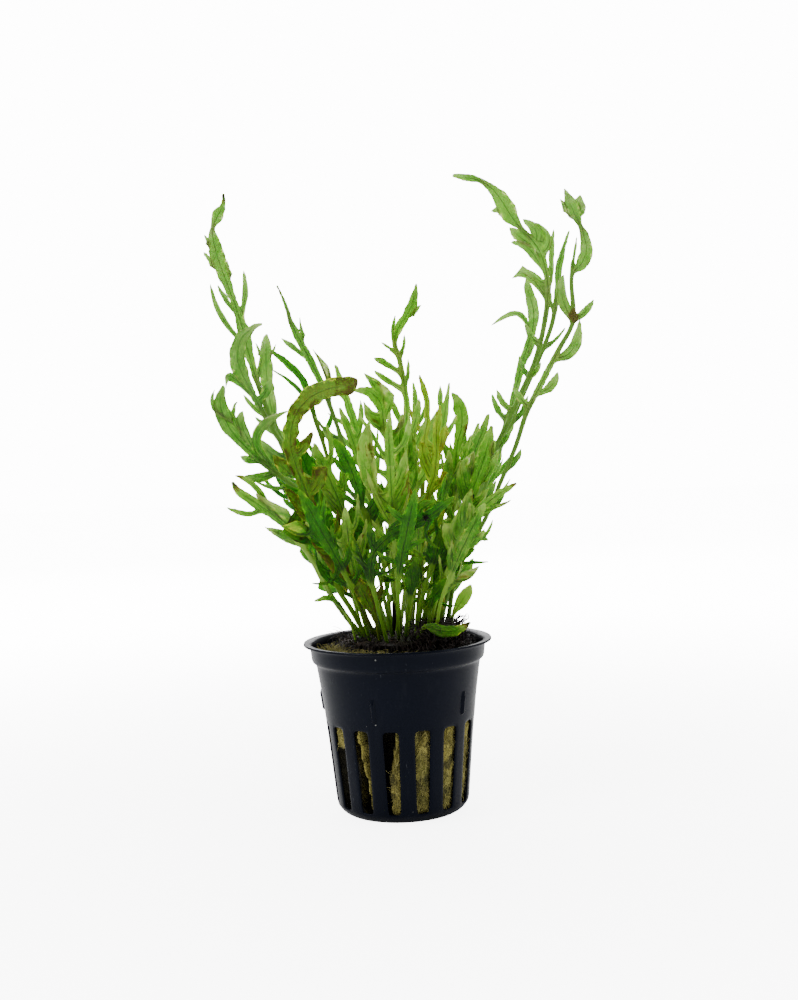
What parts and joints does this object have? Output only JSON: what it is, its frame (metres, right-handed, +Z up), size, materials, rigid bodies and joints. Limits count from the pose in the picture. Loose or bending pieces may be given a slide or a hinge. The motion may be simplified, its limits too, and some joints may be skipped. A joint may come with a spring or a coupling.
{
  "type": "potted african water fern",
  "caption": "Aquarium fern with slender lobed fronds rising from a creeping rootstock in a small slotted net pot filled with mineral wool.",
  "frame": {"origin": "centre of the pot's flat underside, on the pot's axis", "axes": "+Z up along the pot's axis; -Y faces the viewer of the picture; +X to that viewer's right"},
  "size_m": [0.1127, 0.0888, 0.1835],
  "materials": {
    "black_plastic": "satin",
    "mineral_wool": "matte",
    "root_felt": "matte",
    "rootstock": "matte",
    "leaf_light": "satin",
    "leaf_dark": "satin",
    "leaf_old": "satin",
    "leaf_dead": "matte"
  },
  "bodies": {
    "root": {"net_pot": "black_plastic", "rock_wool": "mineral_wool", "root_mat": "root_felt", "rhizome": "rootstock", "frond_tall_left": "leaf_light", "frond_curled_left": "leaf_light", "frond_pale_left": "leaf_light", "frond_reaching_left": "leaf_light", "frond_low_left": "leaf_light", "frond_dark_left": "leaf_dark", "frond_old_curled": "leaf_old", "frond_slender_left": "leaf_light", "frond_back_left": "leaf_dark", "frond_small_left": "leaf_light", "frond_short_olive": "leaf_old", "frond_middle_left": "leaf_dark", "frond_inner_left": "leaf_dark", "frond_arching_front": "leaf_dark", "frond_heart_leaf": "leaf_dark", "frond_tall_centre": "leaf_light", "frond_spiky_centre": "leaf_light", "frond_light_fan": "leaf_light", "frond_back_centre": "leaf_light", "frond_back_right": "leaf_light", "frond_ovate_right": "leaf_light", "frond_yellow_right": "leaf_old", "frond_olive_strap": "leaf_old", "frond_narrow_centre": "leaf_light", "frond_light_right": "leaf_light", "frond_front_right": "leaf_light", "frond_tall_right": "leaf_light", "frond_thin_right": "leaf_light", "frond_outer_right": "leaf_light", "frond_pale_right": "leaf_light", "frond_young_right": "leaf_light", "sheath_old_yellow": "leaf_old", "frond_three_corner": "leaf_dark", "frond_over_rim": "leaf_dark", "frond_dark_stalk_tall": "leaf_dark", "frond_dark_stalk_low": "leaf_dark", "frond_front_left": "leaf_dark", "frond_low_back_left": "leaf_dark", "frond_low_back_right": "leaf_light", "frond_low_back": "leaf_dark", "frond_low_front_right": "leaf_light", "frond_low_front": "leaf_dark", "frond_mid_left": "leaf_light", "frond_mid_centre_left": "leaf_light", "frond_mid_centre": "leaf_light", "frond_mid_right": "leaf_light", "frond_mid_right_outer": "leaf_light", "frond_low_mid_left": "leaf_light", "frond_low_mid_right": "leaf_light", "frond_far_back_left": "leaf_light", "frond_far_back_right": "leaf_light", "stalk_dead_black": "leaf_dead"}
  },
  "joints": []
}
